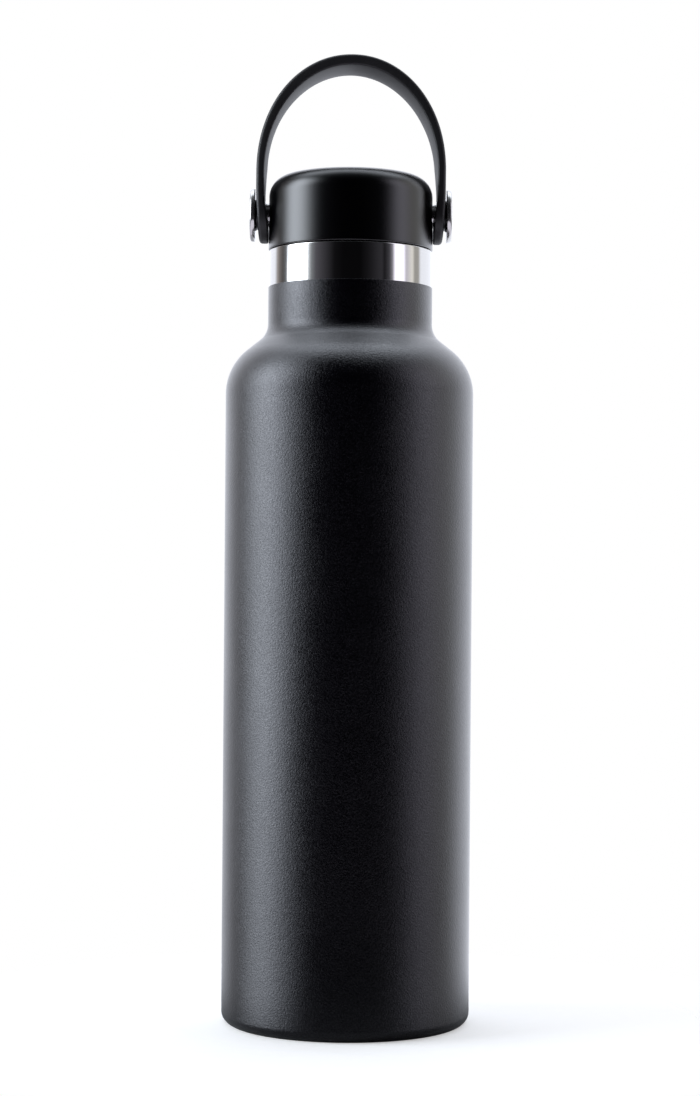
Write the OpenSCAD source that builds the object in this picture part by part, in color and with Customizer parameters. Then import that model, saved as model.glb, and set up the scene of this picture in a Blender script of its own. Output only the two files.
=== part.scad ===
// Double-wall vacuum water bottle with a screw cap and a swinging strap handle.
// Millimetres. +Z is up, the origin is the centre of the foot on the ground,
// and the two handle pivots lie along X: left is -X, right is +X.

/* [Bottle] */
// Outside diameter of the coated barrel
body_d = 73; // [70:0.5:78]
// Height of the lip above the ground
bottle_h = 227.2; // [200:0.1:250]
// Outside diameter of the coated neck
neck_d = 48.4; // [48:0.1:49]
// Height of the bare steel band under the lip
band_h = 10.9; // [6:0.1:14]
// Length of the neck, from the lip to the start of the shoulder
neck_len = 21.6; // [20:0.1:26]
// Radius of the hollow curve where the neck meets the shoulder
neck_fillet = 6.4; // [4:0.1:8]
// Radius of the shoulder's outer curve
shoulder_r = 16.4; // [14:0.1:18]
// Slope of the shoulder away from the bottle's axis, in degrees
shoulder_slope = 51.6; // [48:0.1:56]
// Radius of the barrel's bottom corner
foot_r = 3.3; // [2.5:0.1:4.5]

/* [Walls] */
// Thickness of the outer steel wall
outer_wall = 0.4; // [0.35:0.05:0.6]
// Thickness of the inner steel wall
liner_wall = 0.35; // [0.3:0.05:0.45]
// Thickness of the powder coat
coat_t = 0.2; // [0.15:0.05:0.25]
// Vacuum gap between the walls of the barrel
vacuum_gap = 2.0; // [1.6:0.1:3]
// Height of the weld between the outer tube and its base cup
base_weld_z = 9; // [8:0.5:14]

/* [Thread] */
// Rise of the cap in one turn
lead = 4.5; // [4:0.1:5]
// Turns of thread rolled into the neck
neck_turns = 1.25; // [1:0.25:1.5]
// Turns of thread on the cap
cap_turns = 1.5; // [1:0.25:1.75]
// Height of both thread ridges
ridge_h = 0.95; // [0.8:0.05:1]

/* [Cap] */
// Diameter of the cap at its lower edge
cap_d = 48.4; // [48:0.1:49]
// Height of the cap above the lip gap
cap_h = 23.05; // [21.5:0.05:24]
// Radius of the cap's top edge
cap_corner = 6.2; // [4:0.1:6.5]
// Slope of the domed top where it meets its rounded edge, in degrees
cap_dome = 8; // [5:0.5:10]
// Thickness of the cap's outer wall
cap_wall = 2.1; // [1.8:0.1:2.3]
// Gap between the cap's lower edge and the lip
lip_gap = 0.15; // [0.1:0.05:0.5]
// Length of the threaded plug below the lip
plug_len = 15.7; // [15:0.1:16.5]

/* [Handle] */
// Width of the strap, front to back
strap_w = 16.6; // [16:0.1:18]
// Half of the strap's outside width
strap_half = 27.8; // [27.6:0.1:28]
// Height of the strap's arch above its straight legs
strap_rise = 34.15; // [30:0.05:40]
// Thickness of the legs
leg_t = 2.3; // [2:0.1:2.4]
// Thickness of the strap at the crown
crown_t = 3.1; // [2.6:0.1:4]
// Height of the pivots above the cap's lower edge
pivot_up = 10.35; // [9.5:0.05:11]
// Diameter of the pivot pins' heads
head_d = 15.5; // [12:0.1:16]
// Diameter of the pins where the handle turns on them
pin_d = 7; // [6:0.1:7]

/* [Hidden] */
$fn = 96;

steel = [0.72, 0.72, 0.71];
black = [0.07, 0.07, 0.08];
glass = [0.35, 0.45, 0.5];
pellet_grey = [0.4, 0.4, 0.42];
foil_silver = [0.8, 0.8, 0.82];
gasket_black = [0.12, 0.12, 0.12];
foam_white = [0.9, 0.9, 0.86];
bush_black = [0.05, 0.05, 0.05];

run_fit = 0.05;                         // radial clearance of parts that turn
seat_fit = 0.02;                        // radial clearance of parts that are fixed

// Outer shell radii in the barrel and the neck, from the coated surface inwards
coat_r = body_d / 2;
coat_neck_r = neck_d / 2;
steel_r = coat_r - coat_t;
steel_neck_r = coat_neck_r - coat_t;
shell_in_r = steel_r - outer_wall;
shell_in_neck_r = steel_neck_r - outer_wall;
neck_z = bottle_h - neck_len;           // where the shoulder starts
band_z = bottle_h - band_h;             // where the coat ends

// Base
foot_centre_r = steel_r - foot_r;       // where the foot's corner curve is centred
panel_z = 2.4;                          // underside of the base's raised panel
port_z = 3.2;                           // underside of the boss round the vacuum port
getter_x = 13;
getter_z = panel_z + outer_wall;
getter_r = 4;
clip_t = 0.3;

// Liner
liner_out_r = shell_in_r - vacuum_gap;
liner_in_r = liner_out_r - liner_wall;
liner_out_neck_r = shell_in_neck_r - 1.4;
liner_in_neck_r = liner_out_neck_r - liner_wall;
liner_fillet = neck_fillet + 2.2;
liner_in_fillet = liner_fillet + liner_wall;
liner_shoulder = shoulder_r - 2.4;
liner_floor = 7;
liner_weld_z = 20;
lip_in = 1.1;                           // radius of the lip's inner edge
lip_out = 0.45;                         // radius of the lip's outer edge
lip_weld_r = liner_in_neck_r + lip_in;  // where the two walls meet at the lip

// Thread
neck_ridge_z = bottle_h - 12;           // height of the neck ridge at its start
cap_ridge_z = neck_ridge_z - 1.6;       // the cap's ridge bears up against the neck's
plug_r = liner_in_neck_r - ridge_h - 0.4; // root of the cap's thread

// Cap
cap_z = bottle_h + lip_gap;             // lower edge of the cap
cap_top = cap_z + cap_h;
cap_out_r = cap_d / 2;
cap_top_r = cap_out_r - 0.1;            // the cap narrows a little upwards
cap_in_r = cap_out_r - cap_wall;
dome_edge_r = cap_top_r - cap_corner * (1 - sin(cap_dome));
dome_curve = dome_edge_r / sin(cap_dome); // radius of the domed top
cap_shoulder_z = cap_top - dome_curve * (1 - cos(cap_dome)) - cap_corner * cos(cap_dome);
cap_ceiling = cap_top - 3.4;            // inside of the top
plug_wall = 1.8;
plug_in_r = plug_r - plug_wall;
plug_bottom = bottle_h - plug_len;
plug_floor = plug_bottom + plug_wall;   // inside of the plug's bottom
flange_z = bottle_h + 1.3;              // underside of the plug's flange
flange_top = flange_z + 2;

// Pivots; names in _x are places along X, measured outwards from the bottle's axis
pivot_z = cap_z + pivot_up;
pin_r = pin_d / 2;
head_r = head_d / 2;
shank_r = 2.5;
screw_r = 1.5;
eye_r = 4.3;                            // hole in the strap's end, around the bush
seat_x = 23.2;                          // bottom of the pin's seat in the cap wall
boss_x = 16.5;                          // inner end of the boss behind it
head_x = strap_half + 0.4;              // underside of the pin's head
rim_x = head_x + 1.45;                  // edge of the head
crown_x = head_x + 1.75;                // top of the head

// Strap
spring_z = cap_z + 22.5;                // where the strap's legs end and its arch starts
strap_top = spring_z + strap_rise;
strap_in_half = strap_half - leg_t;
end_r = strap_w / 2;
blank_bottom = pivot_z - end_r - 0.5;   // lower end of the legs before they are rounded
through = 80;                           // length that spans both legs

function arc(x, y, radius, from, to, steps = 16) =
  [for (i = [0:steps])
    let (angle = from + (to - from) * i / steps)
    [x + radius * cos(angle), y + radius * sin(angle)]];

function reversed(points) = [for (i = [len(points) - 1:-1:0]) points[i]];

// The shoulder functions share these arguments: the radii of the neck and the barrel,
// the height where the shoulder starts, and the radii of its hollow and outer curves.

// Length of the shoulder's straight slope between its two curves
function slope_len(neck, barrel, hollow, round_r) =
  (barrel - neck - (hollow + round_r) * (1 - cos(shoulder_slope))) / sin(shoulder_slope);

// Part of a slope line's distance from the origin that doesn't depend on its height
function slope_offset(neck, hollow) =
  (neck + hollow * (1 - cos(shoulder_slope))) * cos(shoulder_slope);

// Distance of a shoulder's slope line from the origin, along its outward normal
function slope_reach(neck, start_z, hollow) =
  slope_offset(neck, hollow) + (start_z - hollow * sin(shoulder_slope)) * sin(shoulder_slope);

// Height at which a shoulder starts, for a wanted distance of its slope line
function slope_start(neck, hollow, reach) =
  (reach - slope_offset(neck, hollow)) / sin(shoulder_slope) + hollow * sin(shoulder_slope);

// Height at which the barrel starts
function barrel_z(neck, barrel, start_z, hollow, round_r) =
  start_z - (hollow + round_r) * sin(shoulder_slope)
  - slope_len(neck, barrel, hollow, round_r) * cos(shoulder_slope);

// Neck to barrel, going down: hollow curve, slope, outer curve
function shoulder(neck, barrel, start_z, hollow, round_r) =
  concat(
    arc(neck + hollow, start_z, hollow, 180, 180 + shoulder_slope),
    arc(barrel - round_r, barrel_z(neck, barrel, start_z, hollow, round_r), round_r,
        shoulder_slope, 0, 24));

coat_barrel_z = barrel_z(coat_neck_r, coat_r, neck_z, neck_fillet, shoulder_r);
liner_reach = slope_reach(coat_neck_r, neck_z, neck_fillet) - coat_t - outer_wall - vacuum_gap;
liner_out_neck_z = slope_start(liner_out_neck_r, liner_fillet, liner_reach);
liner_in_neck_z = slope_start(liner_in_neck_r, liner_in_fillet, liner_reach - liner_wall);

// The coated surface moved inwards by depth
function skin(depth) =
  concat(
    arc(coat_neck_r + neck_fillet, neck_z, neck_fillet + depth, 180, 180 + shoulder_slope),
    arc(coat_r - shoulder_r, coat_barrel_z, shoulder_r - depth, shoulder_slope, 0, 24));

// A profile of [radius, height] points revolved about Z
module turned(points) {
  rotate_extrude() polygon(points);
}

// Puts children on a pivot's axis, their Z outwards; side is 1 for +X and -1 for -X
module on_pivot(side = 1) {
  mirror([side < 0 ? 1 : 0, 0, 0])
    translate([0, 0, pivot_z])
      rotate([0, 90, 0])
        children();
}

// Helical ridge with a trapezoid section that fades out at both ends.
// It starts on +X at height start_z and climbs counter-clockwise, which is right-handed.
// root_w and crest_w are the section's widths along Z.
module ridge(root_r, crest_r, start_z, turns, root_w, crest_w) {
  per_turn = 40;
  fade_steps = 5;
  count = round(turns * per_turn);
  function growth(i) = min(1, 0.12 + min(i, count - i) / fade_steps);
  points = [
    for (i = [0:count])
      let (angle = i * 360 / per_turn,
           z = start_z + lead * i / per_turn,
           tip_r = root_r + (crest_r - root_r) * (0.35 + 0.65 * growth(i)))
      for (corner = [[root_r, -root_w], [tip_r, -crest_w], [tip_r, crest_w], [root_r, root_w]])
        [corner[0] * cos(angle), corner[0] * sin(angle), z + corner[1] / 2]];
  sides = [
    for (i = [0:count - 1], k = [0:3])
      let (a = 4 * i + k, b = 4 * i + (k + 1) % 4)
      each [[a, b, b + 4], [a, b + 4, a + 4]]];
  last = 4 * count;
  ends = [[0, 3, 2], [0, 2, 1],
          [last, last + 1, last + 2], [last, last + 2, last + 3]];
  faces = concat(sides, ends);
  // An inward ridge turns the section over, so its faces are wound the other way
  polyhedron(points = points,
             faces = crest_r < root_r ? [for (f = faces) [f[0], f[2], f[1]]] : faces,
             convexity = 6);
}

// ---------------------------------------------------------------- bottle

// Outer wall: one drawn tube with the shoulder, the neck and the rolled lip
module outer_shell() {
  under_lip = bottle_h - outer_wall;
  color(steel)
    turned(concat(
      [[steel_r, base_weld_z]],
      reversed(skin(coat_t)),
      arc(steel_neck_r - lip_out, bottle_h - lip_out, lip_out, 0, 90, 8),
      [[lip_weld_r, bottle_h], [lip_weld_r, under_lip], [shell_in_neck_r, under_lip]],
      skin(coat_t + outer_wall),
      [[shell_in_r, base_weld_z]]));
}

// Baked powder coat on the outside, from the band down to the foot
module powder_coat() {
  corner = foot_r + coat_t;
  ground_angle = asin(foot_r / corner); // where the coat's outer curve meets the ground
  color(black)
    turned(concat(
      [[steel_neck_r, band_z], [coat_neck_r - 0.08, band_z], [coat_neck_r, band_z - 0.12]],
      skin(0),
      arc(foot_centre_r, foot_r, corner, 0, -ground_angle, 14),
      arc(foot_centre_r, foot_r, foot_r, -90, 0, 14),
      reversed(skin(coat_t))));
}

// Stamped cup that closes the outer wall; its flat ring is the foot
module outer_base() {
  panel_top = panel_z + outer_wall;
  port_top = port_z + outer_wall;
  color(steel)
    turned(concat(
      [[steel_r, base_weld_z]],
      arc(foot_centre_r, foot_r, foot_r, 0, -90, 14),
      [[27.5, 0], [26.7, 0.45], [26.3, panel_z], [5, panel_z], [4.2, port_z], [0.8, port_z],
       [0.8, port_top], [4.4, port_top], [5.2, panel_top], [26.75, panel_top],
       [27.15, 0.45 + outer_wall], [27.7, outer_wall]],
      arc(foot_centre_r, foot_r, foot_r - outer_wall, -90, 0, 12),
      [[shell_in_r, base_weld_z]]));
}

// Trim disc set into the foot, over the vacuum port
module base_disc() {
  color(steel)
    turned([
      [0, 1.8], [17.6, 1.8], [18.2, 1.55], [19.2, 1.55], [19.8, 1.8], [25.6, 1.8],
      [25.95, 2.1], [25.95, 2.35],
      [19.9, 2.35], [19.3, 2.1], [18.1, 2.1], [17.5, 2.35], [0, 2.35]]);
}

// Glass bead that seals the port after the space is pumped out
module vacuum_seal() {
  color(glass)
    turned([
      [0, 2.45], [1.4, 2.5], [2.4, 2.75], [2.7, port_z],
      [0.78, port_z], [0.78, 3.9], [0.5, 4.1], [0, 4.15]]);
}

// Gas-absorbing pellet that keeps the vacuum
module getter() {
  color(pellet_grey)
    translate([getter_x, 0, getter_z + clip_t])
      turned([[0, 0], [getter_r - 0.2, 0], [getter_r, 0.2],
              [getter_r, 1.5], [getter_r - 0.3, 1.8], [0, 1.8]]);
}

// Spot-welded cup and strip that hold the pellet
module getter_clip() {
  color(steel)
    translate([getter_x, 0, getter_z])
      difference() {
        union() {
          cylinder(r = getter_r + 0.4, h = 2);
          translate([-7.5, -2, 0]) cube([15, 4, clip_t]);
        }
        translate([0, 0, clip_t]) cylinder(r = getter_r + seat_fit, h = 3);
      }
}

// Inner wall: barrel, shoulder and neck, with the thread rolled into the neck
module inner_liner() {
  lip_z = bottle_h - lip_in;
  color(steel)
    union() {
      turned(concat(
        [[liner_out_r, liner_weld_z]],
        reversed(shoulder(liner_out_neck_r, liner_out_r, liner_out_neck_z,
                          liner_fillet, liner_shoulder)),
        arc(lip_weld_r, lip_z, lip_in - liner_wall, 180, 90, 8),
        arc(lip_weld_r, lip_z, lip_in, 90, 180, 12),
        shoulder(liner_in_neck_r, liner_in_r, liner_in_neck_z,
                 liner_in_fillet, liner_shoulder - liner_wall),
        [[liner_in_r, liner_weld_z]]));
      ridge(root_r = liner_in_neck_r + 0.2, crest_r = liner_in_neck_r - ridge_h,
            start_z = neck_ridge_z, turns = neck_turns, root_w = 2.4, crest_w = 1.0);
    }
}

// Stamped cup that closes the inner wall
module liner_base() {
  corner = 9;
  centre_r = liner_out_r - corner;
  centre_z = liner_floor + corner;
  panel = liner_floor + 0.6;
  color(steel)
    turned(concat(
      [[liner_out_r, liner_weld_z]],
      arc(centre_r, centre_z, corner, 0, -90, 14),
      [[8, panel], [0, panel], [0, panel + liner_wall], [8, panel + liner_wall]],
      arc(centre_r, centre_z, corner - liner_wall, -90, 0, 14),
      [[liner_in_r, liner_weld_z]]));
}

// Aluminium foil wrapped round the liner, inside the vacuum
module radiation_foil() {
  in_r = liner_out_r + 0.15;
  out_r = in_r + 0.15;
  bottom = 22;
  top = coat_barrel_z - 6;
  color(foil_silver)
    turned([[in_r, bottom], [out_r, bottom], [out_r, top], [in_r, top]]);
}

// ---------------------------------------------------------------- cap

// Ring that seals on the inner edge of the lip
module cap_gasket() {
  in_r = plug_r + run_fit;
  out_r = liner_in_neck_r;
  top = flange_z - 0.05;
  color(gasket_black)
    turned([
      [in_r, bottle_h - 2.4], [plug_r + 0.1, bottle_h - 2.6],
      [out_r - 0.4, bottle_h - 2.6], [out_r - 0.05, bottle_h - 2.2],
      [out_r - 0.05, bottle_h - 1.1], [out_r - 0.02, bottle_h - 0.9],
      [out_r + 0.08, bottle_h - 0.6], [out_r + 0.2, bottle_h - 0.4],
      [out_r + 0.2, top], [in_r, top]]);
}

// Outer shell of the cap, with a boss inside each pivot
module cap_cover() {
  ceiling_fillet = 2.6;
  edge = 0.3;                           // chamfer of the lower edge
  color(black)
    difference() {
      union() {
        turned(concat(
          [[cap_in_r, cap_z], [cap_out_r - edge, cap_z],
           [cap_out_r, cap_z + edge], [cap_out_r, cap_z + 1]],
          arc(cap_top_r - cap_corner, cap_shoulder_z, cap_corner, 0, 90 - cap_dome, 18),
          // The dome starts one step in, as the corner already ends on its edge
          arc(0, cap_top - dome_curve, dome_curve, 90 - cap_dome * 11 / 12, 90, 11),
          [[0, cap_ceiling]],
          arc(cap_in_r - 0.3 - ceiling_fillet, cap_ceiling - ceiling_fillet, ceiling_fillet,
              90, 0, 12),
          [[cap_in_r, cap_z + 4]]));
        for (side = [-1, 1])
          on_pivot(side)
            translate([0, 0, boss_x]) cylinder(r = 5.2, h = cap_in_r + 0.6 - boss_x);
      }
      for (side = [-1, 1])
        on_pivot(side) {
          translate([0, 0, 10]) cylinder(r = shank_r + seat_fit, h = 20);
          translate([0, 0, seat_x]) cylinder(r = pin_r + seat_fit, h = 10);
        }
    }
}

// Threaded plug that closes the underside of the cap
module cap_plug() {
  chamfer = 1.2;
  in_chamfer = 0.8;
  flange_r = cap_in_r - seat_fit;
  color(black)
    union() {
      turned([
        [0, plug_bottom], [plug_r - chamfer, plug_bottom], [plug_r, plug_bottom + chamfer],
        [plug_r, flange_z], [flange_r, flange_z], [flange_r, flange_top],
        [plug_in_r, flange_top], [plug_in_r, plug_floor + in_chamfer],
        [plug_in_r - in_chamfer, plug_floor], [0, plug_floor]]);
      ridge(root_r = plug_r - 0.25, crest_r = plug_r + ridge_h,
            start_z = cap_ridge_z, turns = cap_turns, root_w = 2.3, crest_w = 0.9);
    }
}

// Foam block that insulates the cap
module cap_insulation() {
  low_r = plug_in_r - 0.15;             // inside the plug
  high_r = 13.4;                        // between the pivot bosses
  bottom = plug_floor + 0.2;
  step_z = bottle_h + 3.8;
  top = cap_ceiling - 0.2;
  color(foam_white)
    turned([
      [0, bottom], [low_r - 1, bottom], [low_r, bottom + 1],
      [low_r, step_z - 0.6], [low_r - 0.6, step_z], [high_r, step_z],
      [high_r, top - 0.6], [high_r - 0.6, top], [0, top]]);
}

// Shouldered steel pin with a crowned head
module pivot_pin(side) {
  inner_x = boss_x + 0.5;
  bore_r = screw_r + seat_fit;
  crown_edge_r = head_r - 0.5;
  crown_h = crown_x - rim_x;
  crown_curve = (pow(crown_edge_r, 2) + pow(crown_h, 2)) / (2 * crown_h);
  crown_steps = 12;
  color(steel)
    on_pivot(side)
      turned(concat(
        [[bore_r, inner_x], [shank_r - 0.3, inner_x], [shank_r, inner_x + 0.3],
         [shank_r, seat_x], [pin_r - 0.1, seat_x], [pin_r, seat_x + 0.1], [pin_r, head_x],
         [head_r - 0.2, head_x], [head_r, head_x + 0.2],
         [head_r, rim_x - 0.25], [head_r - 0.12, rim_x - 0.05]],
        [for (i = [0:crown_steps])
          let (radius = crown_edge_r * (1 - i / crown_steps))
          [radius, crown_x - crown_curve + sqrt(pow(crown_curve, 2) - pow(radius, 2))]],
        [[0, seat_x + 1], [bore_r, seat_x + 0.4]]));
}

// Socket screw that holds a pin from inside the cap
module pivot_screw(side) {
  screw_head_r = 3.6;
  inner_x = boss_x - 2;
  chamfer = 0.5;
  tip_x = seat_x - 0.8;
  tip_chamfer = 0.4;
  color(steel)
    on_pivot(side)
      difference() {
        turned([
          [0, inner_x], [screw_head_r - chamfer, inner_x], [screw_head_r, inner_x + chamfer],
          [screw_head_r, boss_x], [screw_r, boss_x],
          [screw_r, tip_x - tip_chamfer], [screw_r - tip_chamfer, tip_x], [0, tip_x]]);
        translate([0, 0, inner_x - 1]) cylinder(r = 1.3, h = 2.4, $fn = 6);
      }
}

// ---------------------------------------------------------------- handle

// Superelliptic edge of the strap's arch, from the crown down to the +X leg
function arch(half, rise, top, exponent, steps = 36) =
  [for (i = [0:steps])
    let (angle = 90 - 90 * i / steps)
    [half * pow(abs(cos(angle)), 2 / exponent),
     top - rise + rise * pow(abs(sin(angle)), 2 / exponent)]];

// Edges of the strap's +X half as [x, z], from the crown down
strap_outside = concat(
  arch(strap_half, strap_rise, strap_top, 2.05),
  [[strap_half, pivot_z + 6], [strap_half - 0.2, pivot_z], [strap_half - 0.85, blank_bottom]]);
strap_inside = concat(
  arch(strap_in_half, strap_rise - crown_t, strap_top - crown_t, 2.0),
  [[strap_in_half - 0.1, pivot_z + 6], [strap_in_half - 0.5, pivot_z],
   [strap_in_half - 0.95, pivot_z - 4], [strap_in_half - 1.05, blank_bottom]]);

// Flexible carrying strap: an arch of even width with rounded, pierced ends
module strap() {
  right = concat(strap_outside, reversed(strap_inside));
  left = [for (i = [len(right) - 2:-1:1]) [-right[i][0], right[i][1]]];
  color(black)
    difference() {
      intersection() {
        rotate([90, 0, 0])
          linear_extrude(height = strap_w, center = true)
            polygon(concat(right, left));
        union() {
          on_pivot() cylinder(r = end_r, h = through, center = true);
          translate([-through / 2, -end_r, pivot_z]) cube([through, strap_w, 60]);
        }
      }
      on_pivot() cylinder(r = eye_r + seat_fit, h = through, center = true);
    }
}

// Flanged sleeve in the strap's eye; it turns on the pin
module strap_bush(side) {
  bore_r = pin_r + run_fit;
  inner_x = strap_in_half - 0.3;
  outer_x = strap_half + 0.36;
  color(bush_black)
    on_pivot(side)
      turned([
        [bore_r, inner_x], [eye_r - 0.15, inner_x], [eye_r, inner_x + 0.15],
        [eye_r, strap_half], [eye_r + 0.35, strap_half + 0.3],
        [eye_r + 0.25, outer_x], [bore_r, outer_x]]);
}

outer_shell();
powder_coat();
outer_base();
base_disc();
vacuum_seal();
getter();
getter_clip();
inner_liner();
liner_base();
radiation_foil();
cap_gasket();
cap_cover();
cap_plug();
cap_insulation();
pivot_pin(-1);  // pivot_pin_left
pivot_pin(1);  // pivot_pin_right
pivot_screw(-1);  // pivot_screw_left
pivot_screw(1);  // pivot_screw_right
strap();
strap_bush(-1);  // strap_bush_left
strap_bush(1);  // strap_bush_right
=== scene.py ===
"""A powder-coated steel bottle with a screw cap and a swinging strap handle.

The bottle stands on z = 0 with its axis on +Z. Its front faces -Y, towards the camera, and +X
is to the right. The handle turns on two pins that lie along X. Sizes are in millimetres unless
a comment says otherwise; meshes are scaled to metres as they are made.
"""

import math
from bisect import bisect_right

import bmesh
import bpy
from mathutils import Matrix, Vector


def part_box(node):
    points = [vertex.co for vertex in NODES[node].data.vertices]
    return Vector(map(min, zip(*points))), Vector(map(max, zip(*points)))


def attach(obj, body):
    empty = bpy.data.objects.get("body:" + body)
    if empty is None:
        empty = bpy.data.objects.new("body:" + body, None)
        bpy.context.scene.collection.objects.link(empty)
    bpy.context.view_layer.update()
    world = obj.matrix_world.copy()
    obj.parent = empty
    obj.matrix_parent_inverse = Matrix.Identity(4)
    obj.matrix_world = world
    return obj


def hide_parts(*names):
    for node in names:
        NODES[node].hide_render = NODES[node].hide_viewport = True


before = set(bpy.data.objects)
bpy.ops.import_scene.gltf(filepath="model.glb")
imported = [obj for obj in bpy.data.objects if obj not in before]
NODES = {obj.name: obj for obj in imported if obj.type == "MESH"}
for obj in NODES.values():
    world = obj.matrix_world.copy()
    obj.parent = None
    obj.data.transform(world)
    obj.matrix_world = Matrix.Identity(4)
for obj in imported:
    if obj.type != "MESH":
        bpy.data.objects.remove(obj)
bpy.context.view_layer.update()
MM = 0.001


def span(node, axis):
    """Lowest and highest coordinate of a CAD piece along an axis."""
    low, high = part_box(node)
    return low[axis] / MM, high[axis] / MM


# ------------------------------------------------------------------ sizes read off the frame

BARREL_R = span("powder_coat", 0)[1]
BAND_Z = span("powder_coat", 2)[1]      # top of the coat, where the bare steel band starts
LIP_Z = span("outer_shell", 2)[1]
CAP_Z, CAP_TOP = span("cap_cover", 2)
CAP_R = span("cap_cover", 0)[1]
STRAP_HALF = span("strap", 0)[1]
STRAP_TOP = span("strap", 2)[1]
STRAP_R = span("strap", 1)[1]           # half the strap's width, and the radius of its ends
PIN_X = span("pivot_pin_right", 0)[1]
PIN_LOW, PIN_HIGH = span("pivot_pin_right", 2)
PIVOT_Z = (PIN_LOW + PIN_HIGH) / 2
HEAD_R = (PIN_HIGH - PIN_LOW) / 2
BUSH_IN_X, BUSH_OUT_X = span("strap_bush_right", 0)

# ------------------------------------------------------------------ sizes shared by several pieces

COAT = 0.2                      # thickness of the powder coat
STEEL_R = BARREL_R - COAT
NECK_R = 24.2
NECK_STEEL_R = NECK_R - COAT
NECK_Z = LIP_Z - 21.6           # where the straight neck ends
PIN_R = 3.5
BUSH_R = 4.3


# ------------------------------------------------------------------ mesh helpers

def clamp(value):
    return max(0.0, min(1.0, value))


def arc(centre_r, centre_z, radius, start, end, steps):
    """Points on an arc, from one angle in degrees to another."""
    angles = [math.radians(start + (end - start) * i / steps) for i in range(steps + 1)]
    return [(centre_r + radius * math.cos(a), centre_z + radius * math.sin(a)) for a in angles]


def filleted(points, radii, steps=6):
    """A closed polygon with its corners rounded, one radius per point."""
    rounded = []
    for i, (point, radius) in enumerate(zip(points, radii)):
        corner = Vector(point)
        back = Vector(points[i - 1]) - corner
        ahead = Vector(points[(i + 1) % len(points)]) - corner
        back_length, ahead_length = back.length, ahead.length
        back.normalize()
        ahead.normalize()
        half_angle = math.acos(back.dot(ahead)) / 2
        reach = min(radius / math.tan(half_angle), 0.49 * back_length, 0.49 * ahead_length)
        fitted = reach * math.tan(half_angle)
        centre = corner + (back + ahead).normalized() * (fitted / math.sin(half_angle))
        first = corner + back * reach
        last = corner + ahead * reach
        start = math.atan2(first.y - centre.y, first.x - centre.x)
        end = math.atan2(last.y - centre.y, last.x - centre.x)
        sweep = (end - start + math.pi) % (2 * math.pi) - math.pi
        for k in range(steps + 1):
            angle = start + sweep * k / steps
            rounded.append((centre.x + fitted * math.cos(angle),
                            centre.y + fitted * math.sin(angle)))
    return rounded


def stations(points, step=9.0):
    """Adds points along straight stretches of a closed profile, so that long faces stay short."""
    out = []
    for a, b in zip(points, points[1:] + points[:1]):
        out.append(a)
        extra = int(math.dist(a, b) // step)
        for i in range(1, extra + 1):
            part = i / (extra + 1)
            out.append((a[0] + (b[0] - a[0]) * part, a[1] + (b[1] - a[1]) * part))
    return out


def shade(mesh, angle):
    """Smooth shading, with edges sharper than the angle in degrees left crisp."""
    for polygon in mesh.polygons:
        polygon.use_smooth = True
    mesh.set_sharp_from_angle(angle=math.radians(angle))


def finish_mesh(bm, name, angle=35.0):
    bmesh.ops.remove_doubles(bm, verts=bm.verts, dist=2e-7)
    bmesh.ops.recalc_face_normals(bm, faces=bm.faces)
    mesh = bpy.data.meshes.new(name)
    bm.to_mesh(mesh)
    bm.free()
    shade(mesh, angle)
    obj = bpy.data.objects.new(name, mesh)
    bpy.context.scene.collection.objects.link(obj)
    return obj


def ring(bm, radius, z, segments):
    angles = [2 * math.pi * k / segments for k in range(segments)]
    return [bm.verts.new((radius * math.cos(a), radius * math.sin(a), z)) for a in angles]


def lathe(name, profile, segments, across=False, mirrored=False):
    """Turns a closed profile of (radius, height) round +Z.

    With across it turns round the pivot line instead, and height becomes x; mirrored puts the
    piece on the -X side.
    """
    bm = bmesh.new()
    rings = [[bm.verts.new((0, 0, h))] if r < 1e-6 else ring(bm, r, h, segments)
             for r, h in profile]
    for a, b in zip(rings, rings[1:] + rings[:1]):
        if len(a) == 1 and len(b) == 1:
            continue
        for k in range(segments):
            after = (k + 1) % segments
            if len(a) == 1:
                bm.faces.new((a[0], b[k], b[after]))
            elif len(b) == 1:
                bm.faces.new((a[k], b[0], a[after]))
            else:
                bm.faces.new((a[k], b[k], b[after], a[after]))
    if across:
        z_to_x = Matrix(((0, 0, 1), (0, 1, 0), (-1, 0, 0))).to_4x4()
        bm.transform(Matrix.Translation((0, 0, PIVOT_Z)) @ z_to_x)
    if mirrored:
        bm.transform(Matrix.Diagonal((-1, 1, 1, 1)))
    bm.transform(Matrix.Scale(MM, 4))
    return finish_mesh(bm, name)


def bore(obj, cutter_name, radius, outer_x, segments, angle):
    """Cuts a round hole on the pivot line through both sides of obj, from x = 20 outwards."""
    profile = [(0, 20), (radius, 20), (radius, outer_x), (0, outer_x)]
    cutters = [lathe(cutter_name, profile, segments, across=True, mirrored=mirrored)
               for mirrored in (False, True)]
    for cutter in cutters:
        modifier = obj.modifiers.new("cut", "BOOLEAN")
        modifier.operation = "DIFFERENCE"
        modifier.solver = "EXACT"
        modifier.object = cutter
    bpy.context.view_layer.update()
    depsgraph = bpy.context.evaluated_depsgraph_get()
    mesh = bpy.data.meshes.new_from_object(obj.evaluated_get(depsgraph))
    obj.modifiers.clear()
    uncut = obj.data
    obj.data = mesh
    bpy.data.meshes.remove(uncut)
    mesh.name = obj.name
    shade(mesh, angle)
    for cutter in cutters:
        data = cutter.data
        bpy.data.objects.remove(cutter)
        bpy.data.meshes.remove(data)


# ------------------------------------------------------------------ node helpers
# Values given to these may be numbers, tuples or the output sockets of other nodes.

def feed(tree, socket, value):
    """Links a socket to the input, or sets its value; colours may leave out alpha."""
    if isinstance(value, bpy.types.NodeSocket):
        tree.links.new(value, socket)
    elif socket.type == "RGBA":
        socket.default_value = value + (1.0,)
    else:
        socket.default_value = value


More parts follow.
